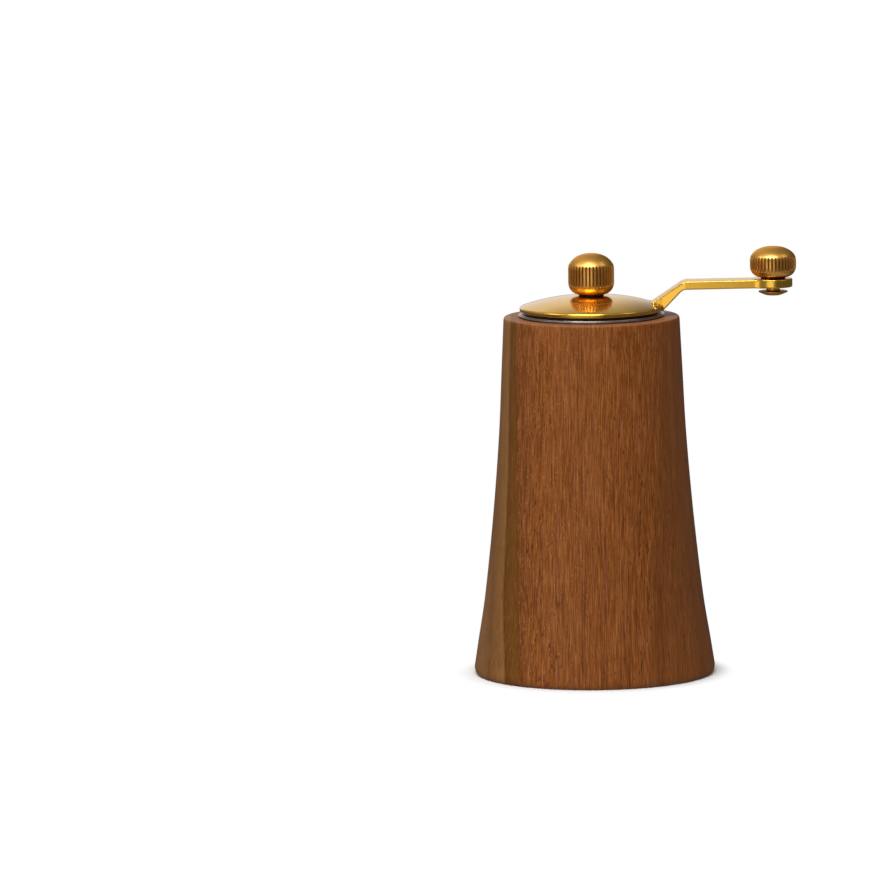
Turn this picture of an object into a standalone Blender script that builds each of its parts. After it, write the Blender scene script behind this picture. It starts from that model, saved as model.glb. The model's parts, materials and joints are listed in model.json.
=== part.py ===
"""Hand-cranked burr grinder: a flared hardwood body with a metal lid and crank, and a conical burr set in its base.

Run with: blender --background --python part.py
Units are metres, +Z is up. The mill stands on z = 0, and the origin is the bottom centre of its whole
bounding box, so the spindle's axis is the vertical line x = -AXIS_OFFSET, y = 0. The crank points along +X.
"""

import math

import bmesh
import bpy
from mathutils import Matrix, Vector

MM = 0.001

# ---------------------------------------------------------------- driving dimensions, in millimetres
BODY_HEIGHT = 111.7  # flat top of the wooden body
BODY_MAX_R = 37.5  # widest point, just above the foot
BODY_FOOT_R = 36.1  # where the foot meets the table
BODY_TOP_R = 27.35  # under the rounded top edge
TOP_ROUND = 0.6
# stations down the flare: height, radius
FLARE = [(110.6, 27.4), (95.0, 28.15), (75.0, 29.15), (50.0, 31.2), (25.0, 33.95), (10.0, 36.3), (2.3, 37.5)]
HOPPER_R = 19.6  # bore that holds the beans
OUTLET_R = 25.6  # recess under the burrs
OUTLET_DEPTH = 14.0
COLLAR_SEAT_R = 21.9
COLLAR_SEAT_Z = 104.0

CRANK_RADIUS = 56.5  # spindle axis to grip axis
GRIP_R = 7.15
ADJUST_R = 7.15
FLUTES = 40  # straight flutes round each knob
FLUTE_DEPTH = 0.42
LEVEL = 110.6  # the lid, crank and knobs are measured up from this height
LID_R = 22.3
LID_RIM_Z = LEVEL + 2.65
LID_TOP_Z = LEVEL + 7.6
ARM_WIDTH = 8.5
EYE_R = 6.0

SHAFT_R = 3.0
SQUARE = 4.2  # across the flats of the shaft's drive squares
SQUARE_HOLE = 4.8
THREAD_R = 2.0
GAP = 0.3  # kept between pieces that touch

# The box runs from the foot on one side to the grip knob on the other
AXIS_OFFSET = (CRANK_RADIUS + GRIP_R - BODY_MAX_R) / 2

# ---------------------------------------------------------------- a clean scene
for old in list(bpy.data.objects):
    bpy.data.objects.remove(old, do_unlink=True)

parts = bpy.data.collections.new("burr_grinder")
bpy.context.scene.collection.children.link(parts)
cutters = bpy.data.collections.new("cutters")
bpy.context.scene.collection.children.link(cutters)
cutters.hide_render = True


# ---------------------------------------------------------------- materials
def material(name, colour, roughness, metallic=0.0):
    m = bpy.data.materials.new(name)
    m.use_nodes = True
    b = m.node_tree.nodes["Principled BSDF"]
    b.inputs["Base Color"].default_value = (*colour, 1.0)
    b.inputs["Roughness"].default_value = roughness
    b.inputs["Metallic"].default_value = metallic
    m.diffuse_color = (*colour, 1.0)
    return m


WOOD = material("oiled_hardwood", (0.235, 0.082, 0.030), 0.45)
BRASS = material("satin_brass", (0.62, 0.36, 0.075), 0.28, 1.0)
STEEL = material("brushed_steel", (0.55, 0.54, 0.53), 0.30, 1.0)
NYLON = material("black_nylon", (0.020, 0.020, 0.021), 0.55)
BURR_STEEL = material("hardened_steel", (0.28, 0.275, 0.27), 0.38, 1.0)


# ---------------------------------------------------------------- helpers
def axis_empty(name, x, y, z, parent=None):
    e = bpy.data.objects.new(name, None)
    e.empty_display_size = 10 * MM
    parts.objects.link(e)
    e.parent = parent
    e.location = (x * MM, y * MM, z * MM)
    return e


SPINDLE = axis_empty("spindle_axis", -AXIS_OFFSET, 0, 0)
GRIP = axis_empty("grip_axis", CRANK_RADIUS, 0, 0, SPINDLE)


def place(obj, parent, mat=None, collection=parts):
    for c in list(obj.users_collection):
        c.objects.unlink(obj)
    collection.objects.link(obj)
    obj.parent = parent
    if mat is not None:
        obj.data.materials.clear()
        obj.data.materials.append(mat)
    if collection is cutters:
        obj.hide_render = True
        obj.display_type = "WIRE"
    return obj


def turned(name, outline, mat, steps=48, parent=SPINDLE, closed=False, collection=parts):
    """A turned piece: outline is a list of (radius, height) in mm. It runs down the outer side, from the
    axis at the top to the axis at the bottom, or round a closed section for a ring."""
    mesh = bpy.data.meshes.new(name)
    verts = [(r * MM, 0.0, z * MM) for r, z in outline]
    edges = [(i, i + 1) for i in range(len(verts) - 1)]
    if closed:
        edges.append((len(verts) - 1, 0))
    mesh.from_pydata(verts, edges, [])
    obj = bpy.data.objects.new(name, mesh)
    place(obj, parent, mat, collection)
    s = obj.modifiers.new("turn", "SCREW")
    s.axis = "Z"
    s.angle = 2 * math.pi
    s.steps = s.render_steps = steps
    s.use_merge_vertices = True
    s.merge_threshold = 0.00001
    s.use_smooth_shade = True
    return obj


def cylinder(name, r, z0, z1, x=0.0, y=0.0, steps=32, parent=SPINDLE, mat=None, collection=cutters):
    bpy.ops.mesh.primitive_cylinder_add(vertices=steps, radius=r * MM, depth=(z1 - z0) * MM)
    obj = bpy.context.object
    obj.name = name
    obj.data.transform(Matrix.Translation((x * MM, y * MM, (z0 + z1) / 2 * MM)))
    obj.matrix_world = Matrix.Identity(4)
    return place(obj, parent, mat, collection)


def box(name, size, centre, turn=0.0, parent=SPINDLE, mat=None, collection=cutters):
    bpy.ops.mesh.primitive_cube_add(size=1.0)
    obj = bpy.context.object
    obj.name = name
    m = (
        Matrix.Rotation(turn, 4, "Z")
        @ Matrix.Translation([c * MM for c in centre])
        @ Matrix.Diagonal([s * MM for s in size]).to_4x4()
    )
    obj.data.transform(m)
    obj.matrix_world = Matrix.Identity(4)
    return place(obj, parent, mat, collection)


def boolean(obj, other, operation):
    m = obj.modifiers.new(operation.lower(), "BOOLEAN")
    m.operation = operation
    m.solver = "EXACT"
    m.object = other
    return obj


def bevel(obj, width, segments=1, angle=35):
    m = obj.modifiers.new("edge_bevel", "BEVEL")
    m.width = width * MM
    m.segments = segments
    m.limit_method = "ANGLE"
    m.angle_limit = math.radians(angle)
    return obj


def settle(obj, angle=32):
    """Makes the modifiers' result the object's own mesh, shaded smooth between its sharp edges."""
    bpy.context.view_layer.update()
    graph = bpy.context.evaluated_depsgraph_get()
    mesh = bpy.data.meshes.new_from_object(obj.evaluated_get(graph))
    mesh.name = obj.name
    obj.modifiers.clear()
    obj.data = mesh
    mesh.shade_smooth()
    mesh.set_sharp_from_angle(angle=math.radians(angle))
    return obj


def from_curve(name, curve_obj, parent, mat, collection=parts):
    """The curve's solid as a mesh object, its caps welded, in the curve's place."""
    bpy.context.view_layer.update()
    graph = bpy.context.evaluated_depsgraph_get()
    mesh = bpy.data.meshes.new_from_object(curve_obj.evaluated_get(graph))
    b = bmesh.new()
    b.from_mesh(mesh)
    bmesh.ops.remove_doubles(b, verts=b.verts, dist=0.000002)
    bmesh.ops.recalc_face_normals(b, faces=b.faces)
    b.to_mesh(mesh)
    b.free()
    mesh.transform(curve_obj.matrix_world)
    obj = bpy.data.objects.new(name, mesh)
    bpy.data.objects.remove(curve_obj, do_unlink=True)
    return place(obj, parent, mat, collection)


def outline_curve(name, loops, half_thickness):
    """A flat plate from closed loops of (x, y) in mm: the first is the edge and the rest are holes."""
    curve = bpy.data.curves.new(name, "CURVE")
    curve.dimensions = "2D"
    curve.fill_mode = "BOTH"
    curve.extrude = half_thickness * MM
    for loop in loops:
        s = curve.splines.new("POLY")
        s.points.add(len(loop) - 1)
        for p, (x, y) in zip(s.points, loop):
            p.co = (x * MM, y * MM, 0.0, 1.0)
        s.use_cyclic_u = True
    obj = bpy.data.objects.new(name, curve)
    bpy.context.scene.collection.objects.link(obj)
    return obj


def circle(r, n, cx=0.0, cy=0.0):
    return [(cx + r * math.cos(2 * math.pi * i / n), cy + r * math.sin(2 * math.pi * i / n)) for i in range(n)]


def arc(cx, cz, r, a0, a1, n):
    """n + 1 points of a quarter-round, angles in degrees."""
    return [
        (cx + r * math.cos(math.radians(a0 + (a1 - a0) * i / n)), cz + r * math.sin(math.radians(a0 + (a1 - a0) * i / n)))
        for i in range(n + 1)
    ]


def smooth_through(stations, count):
    """Points on a Catmull-Rom curve through (height, radius) stations, as (radius, height)."""
    pts = [Vector((r, z)) for z, r in stations]
    pts = [2 * pts[0] - pts[1]] + pts + [2 * pts[-1] - pts[-2]]
    found = []
    spans = len(stations) - 1
    for i in range(count + 1):
        u = spans * i / count
        k = min(int(u), spans - 1)
        t = u - k
        a, b, c, d = pts[k : k + 4]
        p = 0.5 * ((2 * b) + (c - a) * t + (2 * a - 5 * b + 4 * c - d) * t * t + (3 * b - a - 3 * c + d) * t ** 3)
        found.append((p.x, p.y))
    return found


# ---------------------------------------------------------------- the wooden body
outer = [(COLLAR_SEAT_R, BODY_HEIGHT), (BODY_TOP_R - TOP_ROUND, BODY_HEIGHT)]
outer += arc(BODY_TOP_R - TOP_ROUND, BODY_HEIGHT - TOP_ROUND, TOP_ROUND, 60, 30, 1)
outer += smooth_through(FLARE, 9)
outer += [(37.45, 1.2), (36.95, 0.35), (BODY_FOOT_R, 0.0)]
inner = [
    (OUTLET_R + 0.8, 0.0),
    (OUTLET_R, 1.2),
    (OUTLET_R, OUTLET_DEPTH),
    (HOPPER_R, OUTLET_DEPTH),
    (HOPPER_R, COLLAR_SEAT_Z),
    (COLLAR_SEAT_R, COLLAR_SEAT_Z),
]
wood = turned("wood_body", outer + inner, WOOD, steps=48, closed=True)

SCREW_CIRCLE = 22.2
SCREW_ANGLES = [math.radians(a) for a in (90, 210, 330)]
for i, a in enumerate(SCREW_ANGLES):
    x, y = SCREW_CIRCLE * math.cos(a), SCREW_CIRCLE * math.sin(a)
    boolean(wood, cylinder(f"cut_pilot_{i + 1}", 1.75, 12.0, 25.0, x, y, 12), "DIFFERENCE")
settle(wood)

# ---------------------------------------------------------------- steel collar in the mouth
collar = [
    (20.75, 112.65),
    (21.7, 112.65),
    (21.85, 112.45),
    (22.65, 112.45),
    (22.75, 112.35),
    (22.75, BODY_HEIGHT + 0.36),
    (21.6, BODY_HEIGHT + 0.36),
    (21.6, 105.8),
    (20.75, 105.8),
]
settle(turned("collar_ring", collar, STEEL, steps=48, closed=True))


# ---------------------------------------------------------------- upper bridge: three arms that centre the shaft
def window(r0, r1, mid, half_arm, n):
    """A sector-shaped window between two arms, centred on the angle mid, with arms of half-width half_arm."""
    loop = []
    a1 = math.radians(60) - math.asin(half_arm / r1)
    a0 = math.radians(60) - math.asin(half_arm / r0)
    for i in range(n + 1):
        a = mid - a1 + 2 * a1 * i / n
        loop.append((r1 * math.cos(a), r1 * math.sin(a)))
    m = max(2, n // 3)
    for i in range(m + 1):
        a = mid + a0 - 2 * a0 * i / m
        loop.append((r0 * math.cos(a), r0 * math.sin(a)))
    return loop


WINDOW_MIDS = [math.radians(a) for a in (60, 180, 300)]
plate = outline_curve(
    "bridge_plate",
    [circle(21.5, 48)] + [window(7.6, 18.6, m, 2.2, 9) for m in WINDOW_MIDS] + [circle(5.3, 24)],
    0.6,
)
plate.location = (0, 0, 104.9 * MM)
settle(from_curve("upper_bridge", plate, SPINDLE, STEEL))

upper_bush = [(3.12, 106.6), (6.8, 106.6), (6.8, 105.8), (5.0, 105.8), (5.0, 101.8), (3.12, 101.8)]
settle(turned("upper_bush", upper_bush, NYLON, steps=24, closed=True))

# ---------------------------------------------------------------- burr housing in the base
housing = [
    (19.2, 39.2),
    (19.2, 13.7),
    (24.9, 13.7),
    (24.9, 12.2),
    (17.2, 12.2),
    (17.2, 39.2),
]
burr_housing = turned("burr_housing", housing, NYLON, steps=48, closed=True)
hub = turned(
    "add_hub",
    [(5.2, 39.2), (7.4, 39.2), (7.4, 36.2), (5.2, 36.2)],
    NYLON,
    steps=24,
    closed=True,
    collection=cutters,
)
settle(hub)
boolean(burr_housing, hub, "UNION")
for i in range(3):
    arm = box(f"add_arm_{i + 1}", (12.0, 3.6, 2.6), (12.3, 0, 37.7), turn=math.radians(120 * i))
    boolean(burr_housing, arm, "UNION")
for i, a in enumerate(SCREW_ANGLES):
    x, y = SCREW_CIRCLE * math.cos(a), SCREW_CIRCLE * math.sin(a)
    boolean(burr_housing, cylinder(f"cut_flange_{i + 1}", 1.8, 11.0, 15.0, x, y, 12), "DIFFERENCE")
settle(burr_housing)

lower_bush = [(3.12, 40.0), (4.9, 40.0), (4.9, 35.9), (6.4, 35.9), (6.4, 35.2), (3.12, 35.2)]
settle(turned("lower_bush", lower_bush, NYLON, steps=24, closed=True))

# ---------------------------------------------------------------- burrs
BURR_COLUMNS = 48
TWIST_LEVEL = 18.5  # the helical teeth pass through their straight position here


def tooth(column, height, fine_below, coarse):
    """How deep a column of the burr is cut at this height: 0 at a ridge and 1 in a groove."""
    if height <= fine_below:
        return float(column % 2)
    return 0.5 - 0.5 * math.cos(2 * math.pi * (column % coarse) / coarse)


def cut_teeth(obj, is_toothed, fine_below, fine_depth, coarse_depth, coarse, twist, inwards):
    """Moves the toothed surface's vertices in or out, and turns each level to make the teeth helical."""
    for v in obj.data.vertices:
        r = math.hypot(v.co.x, v.co.y) / MM
        z = v.co.z / MM
        if r < 1e-3:
            continue
        a = math.atan2(v.co.y, v.co.x)
        column = round(a / (2 * math.pi) * BURR_COLUMNS) % BURR_COLUMNS
        if is_toothed(r, z):
            depth = fine_depth if z <= fine_below else coarse_depth
            r += (-1 if inwards else 1) * depth * tooth(column, z, fine_below, coarse)
            a += twist * (z - TWIST_LEVEL)
        v.co.x, v.co.y = r * math.cos(a) * MM, r * math.sin(a) * MM


# female burr: fixed ring, toothed inside
outer_burr_section = [
    (15.0, 27.2),
    (16.9, 27.2),
    (16.9, 12.2),
    (13.5, 12.2),
    (12.4, 15.5),
    (11.5, 18.0),
    (11.7, 21.0),
    (12.6, 24.5),
]
outer_burr = turned("outer_burr", outer_burr_section, BURR_STEEL, steps=BURR_COLUMNS, closed=True)
settle(outer_burr)
cut_teeth(outer_burr, lambda r, z: r < 14.9, 18.2, 0.7, 1.3, 6, 0.035, inwards=False)

# male burr: cone on the shaft
inner_burr_section = [
    (0.0, 27.0),
    (4.9, 27.0),
    (5.4, 26.4),
    (7.5, 23.4),
    (9.6, 20.4),
    (10.8, 18.0),
    (11.8, 15.2),
    (12.7, 12.6),
    (12.4, 12.2),
    (0.0, 12.2),
]
inner_burr = turned("inner_burr", inner_burr_section, BURR_STEEL, steps=BURR_COLUMNS)
settle(inner_burr)
cut_teeth(inner_burr, lambda r, z: 5.2 < r and z < 26.6, 18.2, 0.75, 1.5, 8, -0.035, inwards=True)
boolean(inner_burr, box("cut_burr_square", (SQUARE_HOLE, SQUARE_HOLE, 30), (0, 0, 20)), "DIFFERENCE")
settle(inner_burr)

retainer = [(24.7, 11.9), (24.7, 10.4), (14.0, 10.4), (14.0, 11.9)]
burr_retainer = turned("burr_retainer", retainer, STEEL, steps=48, closed=True)
for i, a in enumerate(SCREW_ANGLES):
    x, y = SCREW_CIRCLE * math.cos(a), SCREW_CIRCLE * math.sin(a)
    boolean(burr_retainer, cylinder(f"cut_retainer_{i + 1}", 1.8, 9.0, 13.0, x, y, 12), "DIFFERENCE")
settle(burr_retainer)


# ---------------------------------------------------------------- screws
def cross_screw(name, head_r, head_z0, head_z1, shank_r, tip_z, x, y, parent):
    """A pan-head screw that points up, with a cross recess in its head's underside."""
    outline = [
        (0.0, tip_z),
        (shank_r * 0.55, tip_z),
        (shank_r, tip_z - 1.2),
        (shank_r, head_z1),
        (head_r, head_z1),
        (head_r, head_z0 + 0.5),
        (head_r * 0.72, head_z0),
        (0.0, head_z0),
    ]
    screw = turned(name, outline, STEEL, steps=16, parent=parent)
    settle(screw)
    screw.data.transform(Matrix.Translation((x * MM, y * MM, 0)))
    size = head_r * 1.15
    for k in range(2):
        slot = box(
            f"cut_{name}_{k + 1}",
            (size, head_r * 0.28, 1.6),
            (0, 0, 0),
            turn=math.radians(90 * k),
            parent=parent,
        )
        slot.data.transform(Matrix.Translation((x * MM, y * MM, head_z0 * MM)))
        boolean(screw, slot, "DIFFERENCE")
    settle(screw)
    return screw


for i, a in enumerate(SCREW_ANGLES):
    x, y = SCREW_CIRCLE * math.cos(a), SCREW_CIRCLE * math.sin(a)
    cross_screw(f"retainer_screw_{i + 1}", 2.5, 8.4, 10.1, 1.4, 23.5, x, y, SPINDLE)

# ---------------------------------------------------------------- shaft and what it carries
drive_shaft = cylinder("drive_shaft", SHAFT_R, 27.3, 105.6, steps=32, mat=STEEL, collection=parts)
boolean(drive_shaft, box("add_lower_square", (SQUARE, SQUARE, 18.0), (0, 0, 21.3)), "UNION")
boolean(drive_shaft, box("add_upper_square", (SQUARE, SQUARE, 14.0), (0, 0, 109.5)), "UNION")
thread = [(0.0, 125.6), (THREAD_R - 0.4, 125.6), (THREAD_R, 125.2), (THREAD_R, 110.0), (0.0, 110.0)]
tip = settle(turned("add_thread", thread, STEEL, steps=24, collection=cutters))
boolean(drive_shaft, tip, "UNION")
boolean(drive_shaft, cylinder("cut_tapped_hole", 1.65, 8.0, 20.5, steps=16), "DIFFERENCE")
settle(drive_shaft)

washer = [(4.8, 11.8), (4.8, 10.9), (1.75, 10.9), (1.75, 11.8)]
settle(turned("burr_washer", washer, STEEL, steps=24, closed=True))
cross_screw("burr_screw", 3.1, 8.9, 10.6, 1.35, 19.0, 0, 0, SPINDLE)

seat = [(5.4, 28.0), (5.4, 27.3), (3.3, 27.3), (3.3, 28.0)]
settle(turned("spring_seat", seat, STEEL, steps=24, closed=True))

# compression spring between the seat and the lower bush
SPRING_R, SPRING_WIRE, SPRING_TURNS = 4.2, 0.42, 4.5
SPRING_Z0, SPRING_Z1 = 28.75, 34.4
coil = bpy.data.curves.new("burr_spring_path", "CURVE")
coil.dimensions = "3D"
coil.bevel_depth = SPRING_WIRE * MM
coil.bevel_resolution = 2
coil.use_fill_caps = True
wire = coil.splines.new("POLY")
SPRING_POINTS = 50
wire.points.add(SPRING_POINTS)
for i, p in enumerate(wire.points):
    u = i / SPRING_POINTS
    a = 2 * math.pi * SPRING_TURNS * u
    # the end turns lie flatter than the working ones
    rise = 0.5 - 0.5 * math.cos(math.pi * u)
    h = SPRING_Z0 + (SPRING_Z1 - SPRING_Z0) * (0.75 * u + 0.25 * rise)
    p.co = (SPRING_R * math.cos(a) * MM, SPRING_R * math.sin(a) * MM, h * MM, 1.0)
coil_obj = bpy.data.objects.new("burr_spring_path", coil)
bpy.context.scene.collection.objects.link(coil_obj)
settle(from_curve("burr_spring", coil_obj, SPINDLE, STEEL), angle=60)

thrust = turned("thrust_washer", [(0, 107.7), (6.4, 107.7), (6.4, 106.9), (0, 106.9)], STEEL, steps=24)
boolean(thrust, box("cut_thrust_square", (SQUARE_HOLE, SQUARE_HOLE, 4), (0, 0, 107.3)), "DIFFERENCE")
settle(thrust)

# ---------------------------------------------------------------- lid and crank
DOME_EDGE_R, DOME_EDGE_Z = 21.5, LEVEL + 4.45
DOME_FLAT_R = 4.4


def dome(r, drop=0.0):
    """Height of the lid's outer skin at radius r: a shallow cap between the rim and the flat under the knob."""
    t = (r - DOME_FLAT_R) / (DOME_EDGE_R - DOME_FLAT_R)
    return LID_TOP_Z - (LID_TOP_Z - DOME_EDGE_Z) * (0.16 * t + 0.84 * t * t) - drop


def dome_points(r0, r1, n, drop=0.0):
    return [(r0 + (r1 - r0) * i / n, dome(r0 + (r1 - r0) * i / n, drop)) for i in range(n + 1)]


RIM = [
    (22.05, LEVEL + 4.2),
    (LID_R, LEVEL + 3.75),
    (LID_R, LEVEL + 3.0),
    (22.1, LEVEL + 2.75),
    (21.6, LID_RIM_Z),
]
lid_section = [(0.0, LID_TOP_Z)] + dome_points(DOME_FLAT_R, DOME_EDGE_R, 5) + RIM
lid_section += [(20.5, LID_RIM_Z), (20.5, 113.9)]
lid_section += list(reversed(dome_points(7.4, 20.0, 2, drop=1.5)))
lid_section += [(6.6, 112.8), (0.0, 112.8)]
lid = turned("lid_cap", lid_section, BRASS, steps=48)
boolean(lid, box("cut_lid_square", (SQUARE_HOLE, SQUARE_HOLE, 20), (0, 0, 115)), "DIFFERENCE")
settle(lid)

insert_section = [
    (3.4, 112.5),
    (18.6, 112.5),
    (18.6, 113.3),
    (20.1, 113.3),
    (20.1, 112.5),
    (20.3, 111.9),
    (20.3, 108.4),
    (19.2, 108.4),
    (19.2, 111.5),
    (6.4, 111.5),
    (6.4, 108.0),
    (3.4, 108.0),
]
settle(turned("lid_insert", insert_section, NYLON, steps=40, closed=True))

# The crank's side view, x from the spindle axis and height above the table
ARM_BOTTOM = LEVEL + 9.38
ARM_TOP = LEVEL + 12.0
RISE = 0.009  # the handle climbs a little towards the grip
arm_side = [
    (16.8, LEVEL + 4.15),
    (28.0, LEVEL + 11.5),
    (29.3, ARM_TOP),
    (CRANK_RADIUS - 1.0, ARM_TOP + RISE * (CRANK_RADIUS - 30.3)),
    (CRANK_RADIUS - 1.0, ARM_BOTTOM + RISE * (CRANK_RADIUS - 30.3)),
    (29.3, ARM_BOTTOM),
    (28.4, ARM_BOTTOM - 0.2),
    (27.5, LEVEL + 8.45),
    (22.25, LEVEL + 2.94),
    (20.3, LEVEL + 2.94),
]
arm_curve = outline_curve("arm_side", [arm_side], ARM_WIDTH / 2)
arm_curve.rotation_euler = (math.pi / 2, 0, 0)
crank_arm = from_curve("crank_arm", arm_curve, SPINDLE, BRASS)
bevel(crank_arm, 0.35, 1)
EYE_Z0, EYE_Z1 = LEVEL + 9.62, LEVEL + 12.35
eye = turned(
    "add_eye",
    [
        (0.0, EYE_Z1),
        (EYE_R - 0.3, EYE_Z1),
        (EYE_R, EYE_Z1 - 0.3),
        (EYE_R, EYE_Z0 + 0.3),
        (EYE_R - 0.3, EYE_Z0),
        (0.0, EYE_Z0),
    ],
    BRASS,
    steps=32,
    parent=GRIP,
    collection=cutters,
)
settle(eye)
boolean(crank_arm, eye, "UNION")
boolean(crank_arm, cylinder("cut_eye_hole", 2.5, 100, 130, steps=24, parent=GRIP), "DIFFERENCE")
# the root is shaped to the lid's skin, a brazing gap away
SEAM = 0.15
lid_form = [(0.0, LID_TOP_Z + SEAM)]
lid_form += [(r, z + SEAM) for r, z in dome_points(DOME_FLAT_R, DOME_EDGE_R, 5)]
lid_form += [(r + SEAM, z) for r, z in RIM[:-1]] + [(21.6, LID_RIM_Z - 0.6), (0.0, LID_RIM_Z - 0.6)]
boolean(crank_arm, settle(turned("cut_lid_form", lid_form, BRASS, steps=48, collection=cutters)), "DIFFERENCE")
settle(crank_arm)


# ---------------------------------------------------------------- knobs
def fluted_knob(name, crown, band, foot, bore_r, bore_top, parent, steps):
    """A knurled knob. crown, band and foot are (radius, height) down its outside, and a blind bore opens below."""
    outline = crown + band + foot
    bottom = outline[-1][1]
    outline = outline + [(bore_r, bottom), (bore_r, bore_top), (0.0, bore_top)]
    knob = turned(name, outline, BRASS, steps=steps, parent=parent)
    settle(knob)
    floor = max(r for r, z in band) - FLUTE_DEPTH
    for v in knob.data.vertices:
        r = math.hypot(v.co.x, v.co.y) / MM
        a = math.atan2(v.co.y, v.co.x)
        column = round(a / (2 * math.pi) * steps) % steps
        # every second column is a groove, as deep as the straight cutter reaches
        if column % 2 and r > floor:
            v.co.x, v.co.y = floor * math.cos(a) * MM, floor * math.sin(a) * MM
    knob.data.update()
    knob.data.shade_smooth()
    knob.data.set_sharp_from_angle(angle=math.radians(25))
    return knob


fluted_knob(
    "adjust_knob",
    [(0.0, LEVEL + 20.75), (3.1, LEVEL + 20.35), (5.3, LEVEL + 19.1), (6.6, LEVEL + 17.5)],
    [(ADJUST_R, LEVEL + 16.4), (ADJUST_R, LEVEL + 11.4)],
    [(6.6, LEVEL + 10.1), (5.5, LEVEL + 8.75), (4.0, LEVEL + 8.1)],
    2.35,
    LEVEL + 17.1,
    SPINDLE,
    2 * FLUTES,
)
adjust_washer = [(3.8, LEVEL + 7.95), (3.8, LEVEL + 7.68), (2.9, LEVEL + 7.68), (2.9, LEVEL + 7.95)]
settle(turned("adjust_washer", adjust_washer, NYLON, steps=24, closed=True))

fluted_knob(
    "grip_knob",
    [(0.0, LEVEL + 22.3), (3.0, LEVEL + 22.05), (5.3, LEVEL + 21.1), (6.6, LEVEL + 19.8)],
    [(GRIP_R, LEVEL + 18.3), (GRIP_R, LEVEL + 16.1)],
    [(6.7, LEVEL + 14.6), (5.6, LEVEL + 13.35), (4.0, LEVEL + 12.9)],
    1.9,
    LEVEL + 19.4,
    GRIP,
    2 * FLUTES,
)
grip_washer = [(3.8, LEVEL + 12.75), (3.8, LEVEL + 12.47), (2.5, LEVEL + 12.47), (2.5, LEVEL + 12.75)]
settle(turned("grip_washer", grip_washer, NYLON, steps=24, parent=GRIP, closed=True))
grip_screw = [
    (0.0, LEVEL + 18.6),
    (1.2, LEVEL + 18.6),
    (1.55, LEVEL + 18.2),
    (1.55, LEVEL + 12.6),
    (2.1, LEVEL + 12.4),
    (2.1, LEVEL + 8.4),
    (4.3, LEVEL + 8.4),
    (4.55, LEVEL + 8.15),
    (4.45, LEVEL + 7.85),
    (2.9, LEVEL + 7.3),
    (0.0, LEVEL + 7.05),
]
screw = settle(turned("grip_screw", grip_screw, BRASS, steps=24, parent=GRIP))
boolean(screw, box("cut_grip_slot", (9.8, 0.9, 1.0), (0, 0, LEVEL + 7.05), parent=GRIP), "DIFFERENCE")
settle(screw)
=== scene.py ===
"""The looks of the hand-cranked burr grinder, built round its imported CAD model.

Sizes are in millimetres from the spindle's axis (or the grip's) and the table, until a piece is made.
"""

import json
import math

import bpy
import numpy as np
from mathutils import Matrix, Vector


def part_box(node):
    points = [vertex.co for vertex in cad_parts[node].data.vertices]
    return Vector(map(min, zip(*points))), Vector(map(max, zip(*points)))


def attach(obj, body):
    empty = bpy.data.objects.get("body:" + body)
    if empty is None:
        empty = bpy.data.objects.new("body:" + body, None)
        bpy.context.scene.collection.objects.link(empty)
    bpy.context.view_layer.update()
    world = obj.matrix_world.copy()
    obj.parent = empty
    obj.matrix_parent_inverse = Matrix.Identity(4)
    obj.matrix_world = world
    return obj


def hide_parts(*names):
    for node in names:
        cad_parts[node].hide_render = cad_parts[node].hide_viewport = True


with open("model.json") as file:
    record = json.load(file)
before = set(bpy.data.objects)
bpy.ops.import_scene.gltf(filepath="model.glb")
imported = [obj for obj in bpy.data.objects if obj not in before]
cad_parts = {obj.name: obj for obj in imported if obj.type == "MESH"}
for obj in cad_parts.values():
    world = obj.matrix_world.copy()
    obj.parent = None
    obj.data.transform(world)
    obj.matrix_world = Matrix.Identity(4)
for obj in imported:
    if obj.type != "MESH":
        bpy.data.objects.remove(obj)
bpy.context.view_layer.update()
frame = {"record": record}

MM = 0.001
JOINTS = {j["name"]: j for j in frame["record"]["behaviour"]["joints"]}
AX = JOINTS["crank_spin"]["pos_m"][0]  # the spindle's axis
GX = JOINTS["grip_spin"]["pos_m"][0]  # the grip's axis
REACH = (GX - AX) / MM
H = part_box("wood_body")[1].z / MM  # flat top of the wood
LEVEL = 110.6  # the lid, crank and knobs are measured up from this height


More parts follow.
